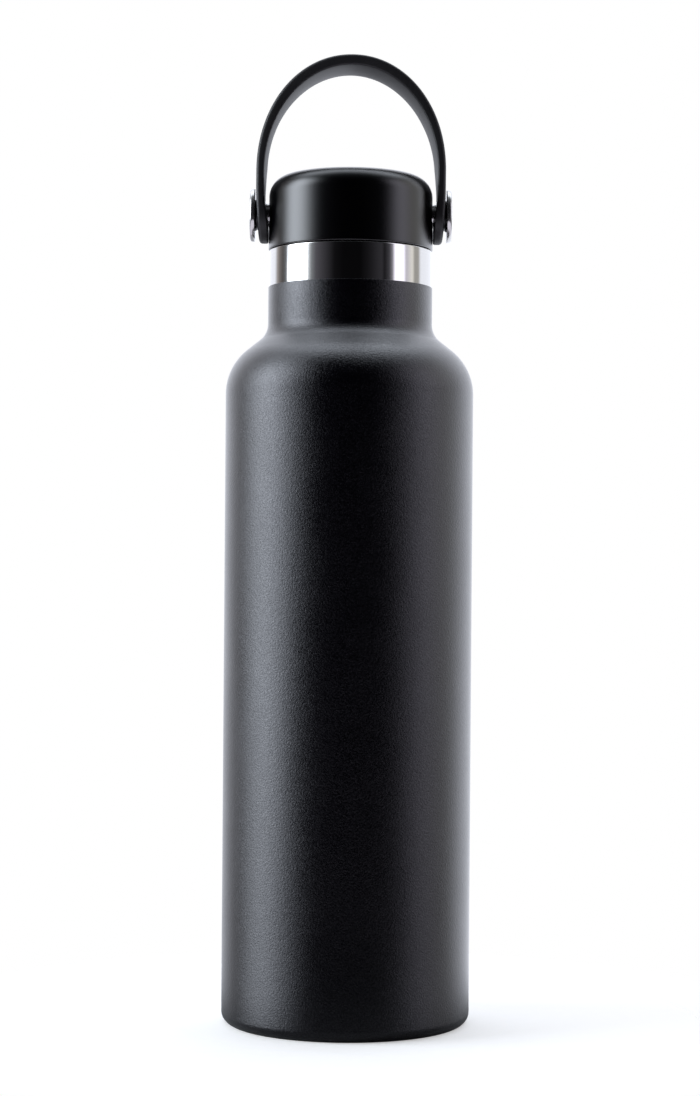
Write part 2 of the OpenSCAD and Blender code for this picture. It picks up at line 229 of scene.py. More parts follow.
def add(tree, kind, inputs=None, out=0, **settings):
    """Adds a shader node and returns one of its outputs."""
    new = tree.nodes.new("ShaderNode" + kind)
    for key, value in settings.items():
        setattr(new, key, value)
    for key, value in (inputs or {}).items():
        feed(tree, new.inputs[key], value)
    return new.outputs[out]


def coords(tree):
    """Frame coordinates in metres: every mesh sits at the origin, so its own are the same."""
    return add(tree, "TexCoord", out="Object")


def split(tree, vector):
    return add(tree, "SeparateXYZ", {0: vector}).node.outputs


def noise(tree, vector, scale, detail=2.0, rough=0.5, stretch=None):
    if stretch:
        vector = add(tree, "Mapping", {"Scale": stretch, "Vector": vector})
    return add(tree, "TexNoise", {"Scale": scale, "Detail": detail, "Roughness": rough,
                                  "Vector": vector}, out="Fac")


def cells(tree, vector, scale):
    return add(tree, "TexVoronoi", {"Scale": scale, "Vector": vector}, out="Distance",
               feature="F1")


def calc(tree, operation, *values):
    return add(tree, "Math", dict(enumerate(values)), operation=operation)


def distance(tree, u, v):
    squares = [calc(tree, "MULTIPLY", value, value) for value in (u, v)]
    return calc(tree, "SQRT", calc(tree, "ADD", *squares))


def remap(tree, value, to, over=(0.0, 1.0)):
    """Maps the range over onto the range to."""
    return add(tree, "MapRange", {"From Min": over[0], "From Max": over[1], "To Min": to[0],
                                  "To Max": to[1], "Value": value}, out="Result")


def ramp(tree, value, stops):
    """A colour ramp through stops of (position, colour or grey level)."""
    colour_out = add(tree, "ValToRGB", {"Fac": value}, out="Color")
    elements = colour_out.node.color_ramp.elements
    elements.remove(elements[-1])
    for i, (position, colour) in enumerate(stops):
        element = elements.new(position) if i else elements[0]
        element.position = position
        element.color = (colour if isinstance(colour, tuple) else (colour,) * 3) + (1.0,)
    return colour_out


def bump(tree, height, strength, distance):
    return add(tree, "Bump", {"Strength": strength, "Distance": distance, "Height": height})


def mix(tree, factor, first, second, kind="RGBA", blend="MIX"):
    a, b, out = (2, 3, 0) if kind == "FLOAT" else (6, 7, 2)
    return add(tree, "Mix", {0: factor, a: first, b: second}, out=out,
               data_type=kind, blend_type=blend)


def empty_tree(owner):
    owner.use_nodes = True
    owner.node_tree.nodes.clear()
    return owner.node_tree


def material(name, shader, **settings):
    """A material whose surface is what shader(tree, **settings) returns."""
    made = bpy.data.materials.new(name)
    tree = empty_tree(made)
    add_output = tree.nodes.new("ShaderNodeOutputMaterial")
    feed(tree, add_output.inputs["Surface"], shader(tree, **settings))
    return made


def scaled(colour, factor):
    return tuple(c * factor for c in colour)


# ------------------------------------------------------------------ shaders
# Noise scales are per metre and bump distances are in metres.

def satin(tree, colour, roughness, normal, ior):
    """Diffuse, plus a Beckmann reflection with a clear dielectric's Fresnel curve."""
    body = add(tree, "BsdfDiffuse", {"Color": colour, "Normal": normal})
    shine = add(tree, "BsdfMetallic", {"IOR": ior, "Extinction": (0.0, 0.0, 0.0),
                                       "Roughness": roughness, "Normal": normal},
                distribution="BECKMANN", fresnel_type="PHYSICAL_CONDUCTOR")
    return add(tree, "AddShader", {0: body, 1: shine})


def powder_coat(tree):
    """Baked powder coat: near-black satin with a sandy orange-peel grain."""
    co = coords(tree)
    grain = noise(tree, co, scale=2100, detail=1.0)
    fleck = noise(tree, co, scale=2600, detail=1.0)
    patch = noise(tree, co, scale=45, detail=3.0, rough=0.55)
    normal = bump(tree, grain, strength=0.9, distance=0.000065)
    # the powder's sparkle: some specks reflect more than others, with a faint blue tint
    sparkle = remap(tree, fleck, over=(0.28, 0.72), to=(1.42, 1.64))
    tint_offsets = (-0.004, -0.005, 0.012)
    ior = add(tree, "CombineXYZ", {i: calc(tree, "ADD", sparkle, offset)
                                   for i, offset in enumerate(tint_offsets)})
    roughness = calc(tree, "ADD", remap(tree, grain, over=(0.3, 0.7), to=(0.395, 0.475)),
                     remap(tree, patch, over=(0.3, 0.7), to=(-0.02, 0.02)))
    # 0 looking straight at the surface, 1 at its rim, where the coat looks smoother
    facing = add(tree, "LayerWeight", {"Blend": 0.5}, out="Facing")
    rim_power = 4.0
    rim = remap(tree, calc(tree, "POWER", facing, rim_power), to=(1.0, 0.75))
    roughness = calc(tree, "MULTIPLY", roughness, rim)
    colour = mix(tree, remap(tree, grain, over=(0.35, 0.7), to=(0.0, 1.0)),
                 (0.0005, 0.0004, 0.0010), (0.0012, 0.0010, 0.0020))
    return satin(tree, colour, roughness, normal, ior)


def plastic(tree, colour, rough, grain_scale=3200.0, grain_strength=0.12, ior=1.5):
    """Moulded plastic: fine spark-eroded texture and faint flow marks."""
    co = coords(tree)
    fine = noise(tree, co, scale=grain_scale)
    flow = noise(tree, co, scale=60, detail=3.0, stretch=(1.0, 1.0, 0.4))
    roughness = calc(tree, "ADD", remap(tree, flow, to=(rough - 0.025, rough + 0.025)),
                     remap(tree, fine, to=(-0.02, 0.02)))
    mottled = mix(tree, remap(tree, flow, over=(0.3, 0.7), to=(0.0, 1.0)),
                  scaled(colour, 0.8), scaled(colour, 1.25))
    normal = bump(tree, fine, strength=grain_strength, distance=0.00004)
    return satin(tree, mottled, roughness, normal, (ior,) * 3)


def rubber(tree):
    """Soft elastomer: matte, a little dusty, with a fine skin."""
    co = coords(tree)
    skin = noise(tree, co, scale=2600, detail=3.0, rough=0.6)
    cloud = noise(tree, co, scale=90, detail=4.0, rough=0.55)
    return add(tree, "BsdfPrincipled", {
        "Normal": bump(tree, skin, strength=0.22, distance=0.00005),
        "Roughness": calc(tree, "ADD", remap(tree, cloud, to=(0.44, 0.54)),
                          remap(tree, skin, to=(-0.03, 0.03))),
        "Base Color": mix(tree, remap(tree, cloud, over=(0.3, 0.7), to=(0.0, 1.0)),
                          (0.0055, 0.0052, 0.0058), (0.0085, 0.0080, 0.0090)),
        "IOR": 1.5,
    })


def turned_steel(tree, rough=0.07, line=0.05, across=False):
    """Stainless steel with faint lines of turning round +Z, or round the pivot line."""
    colour = (0.62, 0.61, 0.595)
    co = coords(tree)
    x, y, z = split(tree, co)
    if across:
        u, v, height = calc(tree, "SUBTRACT", z, PIVOT_Z * MM), y, x
    else:
        u, v, height = x, y, z
    radius = calc(tree, "MULTIPLY", distance(tree, u, v), 1.0)
    section = add(tree, "CombineXYZ", {0: radius, 2: height})
    lines = noise(tree, section, scale=5200, detail=3.0, rough=0.7)
    broad = noise(tree, section, scale=700)
    smear = noise(tree, co, scale=140, detail=3.0, rough=0.6)
    steel = add(tree, "BsdfPrincipled", {
        "Normal": bump(tree, lines, strength=line, distance=0.00002),
        "Roughness": calc(tree, "ADD", remap(tree, broad, to=(rough - 0.015, rough + 0.03)),
                          remap(tree, smear, to=(-0.01, 0.02))),
        "Base Color": mix(tree, remap(tree, lines, over=(0.3, 0.7), to=(0.0, 1.0)),
                          scaled(colour, 0.94), colour),
        "Metallic": 1.0,
    })
    if not across:
        return steel
    # the lathe's lines scatter some light sideways
    haze = add(tree, "BsdfMetallic", {"Base Color": colour, "Roughness": 0.5})
    haze_share = 0.16
    return add(tree, "MixShader", {0: haze_share, 1: steel, 2: haze})


def drawn_steel(tree):
    """Electropolished inner steel: softer, with vertical draw marks."""
    colour, rough = (0.58, 0.575, 0.56), 0.24
    co = coords(tree)
    draw = noise(tree, co, scale=900, detail=3.0, rough=0.6, stretch=(1.0, 1.0, 0.06))
    cloud = noise(tree, co, scale=70, detail=3.0)
    return add(tree, "BsdfPrincipled", {
        "Normal": bump(tree, draw, strength=0.08, distance=0.00003),
        "Roughness": calc(tree, "ADD", remap(tree, draw, to=(rough - 0.04, rough + 0.05)),
                          remap(tree, cloud, to=(-0.03, 0.03))),
        "Base Color": mix(tree, cloud, scaled(colour, 0.9), colour),
        "Metallic": 1.0,
    })


def foil(tree):
    """Bright wrinkled foil."""
    co = coords(tree)
    wrinkle = noise(tree, co, scale=160, detail=4.0, rough=0.65)
    crease = cells(tree, co, scale=90)
    relief = calc(tree, "ADD", wrinkle, crease)
    return add(tree, "BsdfPrincipled", {
        "Normal": bump(tree, relief, strength=0.4, distance=0.0002),
        "Roughness": remap(tree, wrinkle, to=(0.12, 0.3)),
        "Base Color": mix(tree, wrinkle, (0.72, 0.72, 0.73), (0.88, 0.88, 0.89)),
        "Metallic": 1.0,
    })


def foam(tree):
    """Cream expanded foam."""
    co = coords(tree)
    bubbles = cells(tree, co, scale=1400)
    cloud = noise(tree, co, scale=120, detail=3.0)
    return add(tree, "BsdfPrincipled", {
        "Normal": bump(tree, bubbles, strength=0.6, distance=0.0002),
        "Base Color": mix(tree, cloud, (0.78, 0.76, 0.68), (0.88, 0.87, 0.80)),
        "Roughness": remap(tree, bubbles, to=(0.85, 0.95)),
    })


def sintered(tree):
    """Dark porous sintered metal."""
    pores = cells(tree, coords(tree), scale=3500)
    return add(tree, "BsdfPrincipled", {
        "Normal": bump(tree, pores, strength=0.5, distance=0.0001),
        "Base Color": mix(tree, pores, (0.12, 0.12, 0.125), (0.24, 0.24, 0.25)),
        "Roughness": remap(tree, pores, to=(0.5, 0.75)),
        "Metallic": 0.8,
    })


def solder_glass(tree):
    """Cloudy blue-grey glass."""
    cloud = noise(tree, coords(tree), scale=900, detail=3.0)
    return add(tree, "BsdfPrincipled", {
        "Base Color": mix(tree, cloud, (0.18, 0.27, 0.30), (0.32, 0.42, 0.45)),
        "Roughness": remap(tree, cloud, to=(0.08, 0.2)),
        "Normal": bump(tree, cloud, strength=0.1, distance=0.0001),
    })


COAT_MAT = material("powder_coat_black", powder_coat)
BAND_MAT = material("polished_band", turned_steel)
PIN_MAT = material("polished_pin", turned_steel, rough=0.09, line=0.06, across=True)
FOOT_MAT = material("foot_steel", turned_steel, rough=0.18, line=0.1)
CAP_MAT = material("cap_polypropylene", plastic, colour=(0.0006, 0.0006, 0.0008), rough=0.33)
PLUG_MAT = material("plug_polypropylene", plastic, colour=(0.006, 0.006, 0.0065), rough=0.38,
                    grain_scale=2600.0, grain_strength=0.18)
BUSH_MAT = material("bush_acetal", plastic, colour=(0.004, 0.004, 0.0042), rough=0.30,
                    grain_scale=2600.0, grain_strength=0.1)
STRAP_MAT = material("strap_elastomer", rubber)
GASKET_MAT = material("gasket_silicone", plastic, colour=(0.012, 0.012, 0.012), rough=0.55,
                      grain_scale=2000.0, grain_strength=0.2, ior=1.41)
LINER_MAT = material("liner_steel", drawn_steel)
FOIL_MAT = material("bright_foil", foil)
FOAM_MAT = material("expanded_foam", foam)
GETTER_MAT = material("sintered_metal", sintered)
SEAL_MAT = material("solder_glass", solder_glass)


def dress(obj, mat):
    obj.data.materials.clear()
    obj.data.materials.append(mat)


def piece(obj, mat, body, cad):
    """Dresses a mesh, hangs it under the body that carries it and hides the CAD piece it replaces.
    """
    dress(obj, mat)
    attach(obj, body)
    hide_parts(cad)
    return obj


# ------------------------------------------------------------------ bottle

SLOPE = 51.6            # degrees from vertical, where the shoulder is steepest
FILLET = 6.4            # hollow curve from neck to shoulder
SHOULDER = 16.4         # full curve from shoulder to barrel
FOOT_R = 3.3            # steel corner radius at the foot
WALL = 0.4              # outer shell
GAP = 0.005             # between the coat and the steel under it
COAT_EDGE = 0.09        # rounding of the coat's top edge
LIP_ROUND = 0.45
LIP_WIDTH = 1.05        # from the neck's steel inwards to the weld
SHELL_BOTTOM = 9.0


def barrel_top():
    """Height where the shoulder curve meets the straight barrel."""
    sine, cosine = math.sin(math.radians(SLOPE)), math.cos(math.radians(SLOPE))
    straight = (BARREL_R - NECK_R - (FILLET + SHOULDER) * (1 - cosine)) / sine
    return NECK_Z - (FILLET + SHOULDER) * sine - straight * cosine


BARREL_Z = barrel_top()


def skin(inset):
    """Neck to barrel, going down, moved inwards by inset."""
    return (arc(NECK_R + FILLET, NECK_Z, FILLET + inset, 180, 180 + SLOPE, 28)
            + arc(BARREL_R - SHOULDER, BARREL_Z, SHOULDER - inset, SLOPE, 0, 28))


def make_coat():
    corner = FOOT_R + COAT
    floor_angle = math.degrees(math.asin(FOOT_R / corner))      # where the corner reaches z = 0
    profile = (
        [(NECK_STEEL_R + GAP, BAND_Z)]
        + arc(NECK_R - COAT_EDGE, BAND_Z - COAT_EDGE, COAT_EDGE, 90, 0, 5)
        + skin(0.0)
        + arc(STEEL_R - FOOT_R, FOOT_R, corner, 0, -floor_angle, 18)
        + arc(STEEL_R - FOOT_R, FOOT_R, FOOT_R + GAP, -89, 0, 14)
        + [(r + GAP, z) for r, z in reversed(skin(COAT))]
    )
    obj = lathe("coat", stations(profile), 256)
    return piece(obj, COAT_MAT, "bottle", "powder_coat")


def make_shell():
    weld_r = NECK_STEEL_R - LIP_WIDTH
    profile = (
        [(STEEL_R, SHELL_BOTTOM)]
        + list(reversed(skin(COAT)))
        + arc(NECK_STEEL_R - LIP_ROUND, LIP_Z - LIP_ROUND, LIP_ROUND, 0, 90, 10)
        + [(weld_r, LIP_Z), (weld_r, LIP_Z - WALL), (NECK_STEEL_R - WALL, LIP_Z - WALL)]
        + skin(COAT + WALL)
        + [(STEEL_R - WALL, SHELL_BOTTOM)]
    )
    obj = lathe("shell", stations(profile), 256)
    piece(obj, BAND_MAT, "bottle", "outer_shell")


coat = make_coat()
make_shell()

# CAD pieces that keep their own meshes; a frame may lack some of them
CAD_MATERIALS = {
    "inner_liner": LINER_MAT, "liner_base": LINER_MAT, "radiation_foil": FOIL_MAT,
    "getter": GETTER_MAT, "getter_clip": LINER_MAT, "vacuum_seal": SEAL_MAT,
    "outer_base": FOOT_MAT, "base_disc": FOOT_MAT, "cap_gasket": GASKET_MAT,
    "cap_plug": PLUG_MAT, "cap_insulation": FOAM_MAT, "pivot_screw_left": LINER_MAT,
    "pivot_screw_right": LINER_MAT,
}
for cad_name, cad_material in CAD_MATERIALS.items():
    if cad_name in NODES:
        dress(NODES[cad_name], cad_material)


# ------------------------------------------------------------------ cap

CAP_CORNER = 6.2                # radius between the side and the dome
CAP_DOME = 8.0                  # the dome's slope at its edge, in degrees
CAP_TOP_R = CAP_R - 0.1
CAP_INNER_R = CAP_R - 2.1
CAP_CEILING = CAP_TOP - 3.4
CEILING_CORNER = 2.6
RIM_ROUND = 0.35
RIM_CHAMFER = 0.15
CAP_SIDE = [(0.0, 1.0), (0.03, 5.0), (0.06, 9.0), (0.09, 13.0)]   # (inwards, up from the rim)


def make_cap():
    slope = math.radians(CAP_DOME)
    dome_edge = CAP_TOP_R - CAP_CORNER * (1 - math.sin(slope))
    dome_r = dome_edge / math.sin(slope)
    corner_z = CAP_TOP - dome_r * (1 - math.cos(slope)) - CAP_CORNER * math.cos(slope)
    profile = (
        [(CAP_INNER_R, CAP_Z + RIM_CHAMFER), (CAP_INNER_R + RIM_CHAMFER, CAP_Z)]
        + arc(CAP_R - RIM_ROUND, CAP_Z + RIM_ROUND, RIM_ROUND, -90, 0, 6)
        + [(CAP_R - inwards, CAP_Z + up) for inwards, up in CAP_SIDE]
        + arc(CAP_TOP_R - CAP_CORNER, corner_z, CAP_CORNER, 0, 90 - CAP_DOME, 24)
        + arc(0, CAP_TOP - dome_r, dome_r, 90 - CAP_DOME * 11 / 12, 90, 11)[:-1]
        + [(0, CAP_TOP), (0, CAP_CEILING)]
        + arc(CAP_INNER_R - 0.3 - CEILING_CORNER, CAP_CEILING - CEILING_CORNER,
              CEILING_CORNER, 90, 0, 10)
        + [(CAP_INNER_R, CAP_Z + 4.0)]
    )
    obj = lathe("cap_shell", profile, 256)
    bore(obj, "drill", radius=PIN_R + 0.04, outer_x=30, segments=64, angle=35.0)
    piece(obj, CAP_MAT, "cap", "cap_cover")


HEAD_THICK = 1.75
HEAD_DOME = 0.30                # how far the head's crown stands above its edge
HEAD_EDGE_R, HEAD_EDGE_X = 0.60, 0.80       # the edge's elliptical rounding
HEAD_UNDER = 0.22               # rounding under the head
EDGE_ANGLES = (6, 18, 30, 42, 54, 66, 77)   # degrees round that rounding


def make_pin(name, mirrored, cad):
    head_x = PIN_X - HEAD_THICK
    crown_r = HEAD_R - HEAD_EDGE_R
    crown_curve = (crown_r ** 2 + HEAD_DOME ** 2) / (2 * HEAD_DOME)
    edge = [(crown_r + HEAD_EDGE_R * math.cos(math.radians(a)),
             PIN_X - HEAD_DOME - HEAD_EDGE_X + HEAD_EDGE_X * math.sin(math.radians(a)))
            for a in EDGE_ANGLES]
    crown = [(r, PIN_X - crown_curve + math.sqrt(crown_curve ** 2 - r * r))
             for r in [crown_r * (1 - i / 16) for i in range(1, 17)]]
    profile = (
        [(0, 16.9), (2.2, 16.9), (2.5, 17.2), (2.5, 23.2),      # the thin inner end
         (PIN_R - 0.1, 23.2), (PIN_R, 23.3), (PIN_R, head_x)]
        + arc(HEAD_R - HEAD_UNDER, head_x + HEAD_UNDER, HEAD_UNDER, -90, 0, 5)
        + edge
        + crown
    )
    obj = lathe(name, profile, 128, across=True, mirrored=mirrored)
    piece(obj, PIN_MAT, "cap", cad)


make_cap()
make_pin("pin_right", False, "pivot_pin_right")
make_pin("pin_left", True, "pivot_pin_left")


# ------------------------------------------------------------------ handle

LEG_THICK, CROWN_THICK = 2.3, 3.1
SPRING_Z = CAP_Z + 22.5         # where the legs end and the arch begins
RISE = STRAP_TOP - SPRING_Z
OUTER_POWER, INNER_POWER = 2.05, 1.985      # superellipse exponents of the arch
ARCH_STEPS = 140
LEG_STEP = 0.4
THINNING = 0.06                 # how much thinner the strap is at its edges than in its middle
BELLY = 0.80                    # how far the arch's inner side swells in its middle
ARCH_SHIFT = 0.14               # the arch sits this far towards -X
ARCH_SKEW = 0.25                # and this much more at its back edge, less at its front
OUTER_ROUND, INNER_ROUND = 1.0, 0.45        # rounding of the strap's edges
LONG_STEPS, END_STEPS, ROUND_STEPS, CROSS_STEPS = 150, 28, 6, 10


def superellipse(half, rise, top, power, angle):
    cosine, sine = math.cos(angle), math.sin(angle)
    return (math.copysign(half * abs(cosine) ** (2 / power), cosine),
            top - rise + rise * abs(sine) ** (2 / power))


def leg_shift(z, inner):
    """How far a leg leans in beside the cap."""
    down = max(0.0, (PIVOT_Z + 7 - z) / (7 + STRAP_R))
    if inner:
        ease = min(1.0, 1.22 * down)
        return 1.16 * ease * ease * (3 - 2 * ease)
    return 0.82 * down ** 1.6


def strap_path():
    """The strap's right half, from the crown down.

    Samples of (distance along the centre, centre, outward normal, half thickness).
    """
    sides = []                  # (outer point, inner point), each (x, z)
    for i in range(ARCH_STEPS + 1):
        angle = math.pi / 2 * (1 - i / ARCH_STEPS)
        sides.append((superellipse(STRAP_HALF, RISE, STRAP_TOP, OUTER_POWER, angle),
                      superellipse(STRAP_HALF - LEG_THICK, RISE - CROWN_THICK,
                                   STRAP_TOP - CROWN_THICK, INNER_POWER, angle)))
    z = SPRING_Z
    while z > PIVOT_Z - STRAP_R - 1.5:
        z -= LEG_STEP
        sides.append(((STRAP_HALF - leg_shift(z, False), z),
                      (STRAP_HALF - LEG_THICK - leg_shift(z, True), z)))
    samples = []
    along = 0.0
    for outer, inner in sides:
        centre = Vector(((outer[0] + inner[0]) / 2, (outer[1] + inner[1]) / 2))
        through = Vector((outer[0] - inner[0], outer[1] - inner[1]))
        if samples:
            along += (centre - samples[-1][1]).length
        samples.append((along, centre, through.normalized(), through.length / 2))
    return samples


PATH = strap_path()
PATH_ALONG = [sample[0] for sample in PATH]


def on_path(along):
    """Centre, normal and half thickness at a distance from the crown, negative to the left."""
    side = 1 if along >= 0 else -1
    along = abs(along)
    i = min(bisect_right(PATH_ALONG, along) - 1, len(PATH) - 2)
    a, b = PATH[i], PATH[i + 1]
    part = (along - a[0]) / (b[0] - a[0])
    centre = a[1].lerp(b[1], part)
    normal = a[2].lerp(b[2], part).normalized()
    half_thick = a[3] + (b[3] - a[3]) * part
    return Vector((side * centre.x, centre.y)), Vector((side * normal.x, normal.y)), half_thick


def pivot_distance():
    """Distance along the strap from the crown to the pivot."""
    for a, b in zip(PATH, PATH[1:]):
        if a[1].y >= PIVOT_Z > b[1].y:
            return a[0] + (b[0] - a[0]) * (a[1].y - PIVOT_Z) / (a[1].y - b[1].y)


PIVOT_ALONG = pivot_distance()


def strap_outline(radius):
    """The strap laid flat, as (along, y): two long sides joined by half circles."""
    long_sides = [2 * PIVOT_ALONG * i / LONG_STEPS for i in range(LONG_STEPS + 1)]
    turns = [math.pi * i / END_STEPS for i in range(1, END_STEPS)]
    points = [(-PIVOT_ALONG + along, radius) for along in long_sides]
    for turn in turns:
        angle = math.pi / 2 - turn
        points.append((PIVOT_ALONG + radius * math.cos(angle), radius * math.sin(angle)))
    points += [(PIVOT_ALONG - along, -radius) for along in long_sides]
    for turn in turns:
        angle = -math.pi / 2 - turn
        points.append((-PIVOT_ALONG + radius * math.cos(angle), radius * math.sin(angle)))
    return points


def strap_point(along, y, depth, inner):
    """A point at a depth under the outer face, or under the inner one."""
    centre, normal, half_thick = on_path(along)
    edge = min(1.0, math.hypot(max(0.0, abs(along) - PIVOT_ALONG), y) / STRAP_R)
    if inner:
        swell = clamp((centre.y - PIVOT_Z - 4) / 10)
        height = -half_thick - BELLY * swell * (1 - edge ** 2) + depth
    else:
        height = half_thick - depth - THINNING * edge ** 2
    point = centre + normal * height
    up = clamp((point.y - SPRING_Z + 4) / 20)
    return (point.x - up * (ARCH_SHIFT + ARCH_SKEW * y / STRAP_R), y, point.y)


def close_face(bm, rim, radius, inner):
    """Closes a face with strips across the strap, so that its crown is smooth."""
    points = strap_outline(radius)
    side, end = LONG_STEPS + 1, END_STEPS - 1
    right_end = range(side, side + end)             # from the back round the tip to the front
    front = range(side + end, 2 * side + end)       # right to left
    left_end = range(2 * side + end, len(rim))      # from the front round the tip to the back
    half = end // 2
    pairs = ([(left_end[half + 1 + i], left_end[half - 1 - i]) for i in range(half)]
             + [(i, front[-1 - i]) for i in range(side)]
             + [(right_end[i], right_end[-1 - i]) for i in range(half)])
    columns = []
    for back_i, front_i in pairs:
        (along_0, y_0), (along_1, y_1) = points[back_i], points[front_i]
        column = [rim[back_i]]
        for k in range(1, CROSS_STEPS):
            part = k / CROSS_STEPS
            column.append(bm.verts.new(strap_point(along_0 + (along_1 - along_0) * part,
                                                   y_0 + (y_1 - y_0) * part, 0.0, inner)))
        columns.append(column + [rim[front_i]])
    for a, b in zip(columns, columns[1:]):
        for k in range(CROSS_STEPS):
            bm.faces.new((a[k], a[k + 1], b[k + 1], b[k]))
    for tip, column in ((left_end[half], columns[0]), (right_end[half], columns[-1])):
        for k in range(CROSS_STEPS):
            bm.faces.new((rim[tip], column[k], column[k + 1]))


def make_strap():
    bm = bmesh.new()
    rings = []                  # outer face to the edge, then the edge to the inner face
    for rounding, inner in ((OUTER_ROUND, False), (INNER_ROUND, True)):
        for k in range(ROUND_STEPS + 1):
            angle = math.pi / 2 * (1 - k / ROUND_STEPS if inner else k / ROUND_STEPS)
            inset = rounding * (1 - math.sin(angle))
            depth = rounding * (1 - math.cos(angle))
            rings.append([bm.verts.new(strap_point(along, y, depth, inner))
                          for along, y in strap_outline(STRAP_R - inset)])
    count = len(rings[0])
    for a, b in zip(rings, rings[1:]):
        for i in range(count):
            j = (i + 1) % count
            bm.faces.new((a[i], a[j], b[j], b[i]))
    close_face(bm, rings[0], STRAP_R - OUTER_ROUND, False)
    close_face(bm, rings[-1], STRAP_R - INNER_ROUND, True)
    bm.transform(Matrix.Scale(MM, 4))
    obj = finish_mesh(bm, "strap_band", 40.0)
    bore(obj, "punch", radius=BUSH_R + 0.02, outer_x=32, segments=96, angle=40.0)
    piece(obj, STRAP_MAT, "handle", "strap")


def make_bush(name, mirrored, cad):
    """A sleeve round the pin, with a small flare at its outer end."""
    bore_r = PIN_R + 0.05
    corners = [                 # radius, x, rounding
        (bore_r, BUSH_IN_X, 0.08),
        (BUSH_R, BUSH_IN_X, 0.15),
        (BUSH_R, BUSH_OUT_X - 0.36, 0.1),
        (4.65, BUSH_OUT_X - 0.06, 0.04),
        (4.55, BUSH_OUT_X, 0.04),
        (bore_r, BUSH_OUT_X, 0.08),
    ]
    profile = filleted([(r, x) for r, x, _ in corners], [rounding for _, _, rounding in corners])
    obj = lathe(name, profile, 128, across=True, mirrored=mirrored)
    piece(obj, BUSH_MAT, "handle", cad)


make_strap()
make_bush("bush_right", False, "strap_bush_right")
make_bush("bush_left", True, "strap_bush_left")


# ------------------------------------------------------------------ floor (metres)

FLOOR_Z = -0.00002
FLOOR_SEGMENTS = 96
FLOOR_RADII = [0.03, 0.06, 0.1, 0.16, 0.24, 0.34, 0.46, 0.6]


def floor_sheet(tree):
    """A pale sheet that fades out with distance from the bottle."""
    x, y, _ = split(tree, coords(tree))
    radius = distance(tree, x, y)
    # to the camera the floor melts into the white behind; other rays meet a smaller, darker grey
    # patch, painted shade round the foot
    seen = remap(tree, radius, over=(0.034, 0.14), to=(0.0, 1.0))
    shade_patch_fade = remap(tree, radius, over=(0.045, 0.110), to=(0.0, 1.0))
    towards = split(tree, add(tree, "NewGeometry", out="Incoming"))
    from_below = calc(tree, "LESS_THAN", towards[2], 0.0)
    seen = calc(tree, "MAXIMUM", seen, from_below)      # from underneath it isn't there
    camera_ray = add(tree, "LightPath", out="Is Camera Ray")

    def by_ray(other, camera, kind="FLOAT"):
        return mix(tree, camera_ray, other, camera, kind=kind)

    sheet = noise(tree, coords(tree), scale=220, detail=3.0)
    pale = mix(tree, sheet, (0.68, 0.69, 0.70), (0.72, 0.73, 0.735))
    # to rays other than the camera's the sheet is a dim grey, painted shade on the floor round the
    # foot as the bottle reflects it
    diffuse = add(tree, "BsdfDiffuse", {"Color": by_ray((0.30, 0.30, 0.30), pale, "RGBA")})
    # light scattered through the sheet
    glow = add(tree, "Emission", {"Color": (1.0, 1.0, 1.0),
                                  "Strength": by_ray(other=0.0, camera=0.44)})
    lift = add(tree, "AddShader", {0: diffuse, 1: glow})
    clear = add(tree, "BsdfTransparent")
    return add(tree, "MixShader", {0: by_ray(shade_patch_fade, seen), 1: lift, 2: clear})


def make_floor():
    bm = bmesh.new()
    centre = bm.verts.new((0, 0, FLOOR_Z))
    rings = [ring(bm, radius, FLOOR_Z, FLOOR_SEGMENTS) for radius in FLOOR_RADII]
    for k in range(FLOOR_SEGMENTS):
        after = (k + 1) % FLOOR_SEGMENTS
        bm.faces.new((centre, rings[0][k], rings[0][after]))
        for a, b in zip(rings, rings[1:]):
            bm.faces.new((a[k], b[k], b[after], a[after]))
    obj = finish_mesh(bm, "floor")
    dress(obj, material("studio_floor", floor_sheet))


# ------------------------------------------------------------------ studio light

# Radiance round the bottle: (compass angle, radiance); 0 is towards the camera, + to the right
SIDES = [
    (-180, 1.45), (-134, 1.45), (-130, 0.95), (-126, 0.50), (-119, 0.24), (-111, 0.125),
    (-104, 0.20), (-100, 0.9), (-97.5, 7.0), (-80, 8.0), (-65, 7.2), (-62.5, 1.2), (-57, 0.35),
    (-50, 0.14), (-41, 0.08), (-32, 0.04), (-23, 0.009), (-10, 0.004), (14, 0.004), (24, 0.012),
    (30, 0.020), (45, 0.05), (49, 0.014), (57, 0.08), (62, 0.4), (66, 2.1), (81, 2.1),
    (85, 0.85), (98, 1.15), (103, 0.5), (112, 0.52), (118, 1.45),
]
BACK_TINT, OVER_TINT, TABLE_TINT = (0.88, 0.91, 1.0), (0.85, 0.91, 1.0), (0.96, 0.94, 1.08)
# Tint of each sector: (compass angle where it ends, tint)
TINTS = [
    (-128, BACK_TINT), (-110, (1.0, 0.93, 0.92)), (-55, (0.86, 0.92, 1.0)),
    (60, (0.90, 0.88, 1.04)), (88, (0.89, 0.87, 1.0)), (114, (1.0, 0.98, 0.93)),
    (180, BACK_TINT),
]
# Radiance of the panel overhead: (degrees over the top from the camera's side, radiance)
PANEL = [(0, 0.02), (45, 0.03), (62, 0.06), (76, 0.14), (85, 0.30), (91, 1.3), (97, 1.9),
         (108, 2.4), (122, 2.4), (135, 1.7), (180, 1.45)]
TABLE_LIGHT = 1.05
PEAK = 8.0              # ramp colours are divided by this, and the background multiplied by it


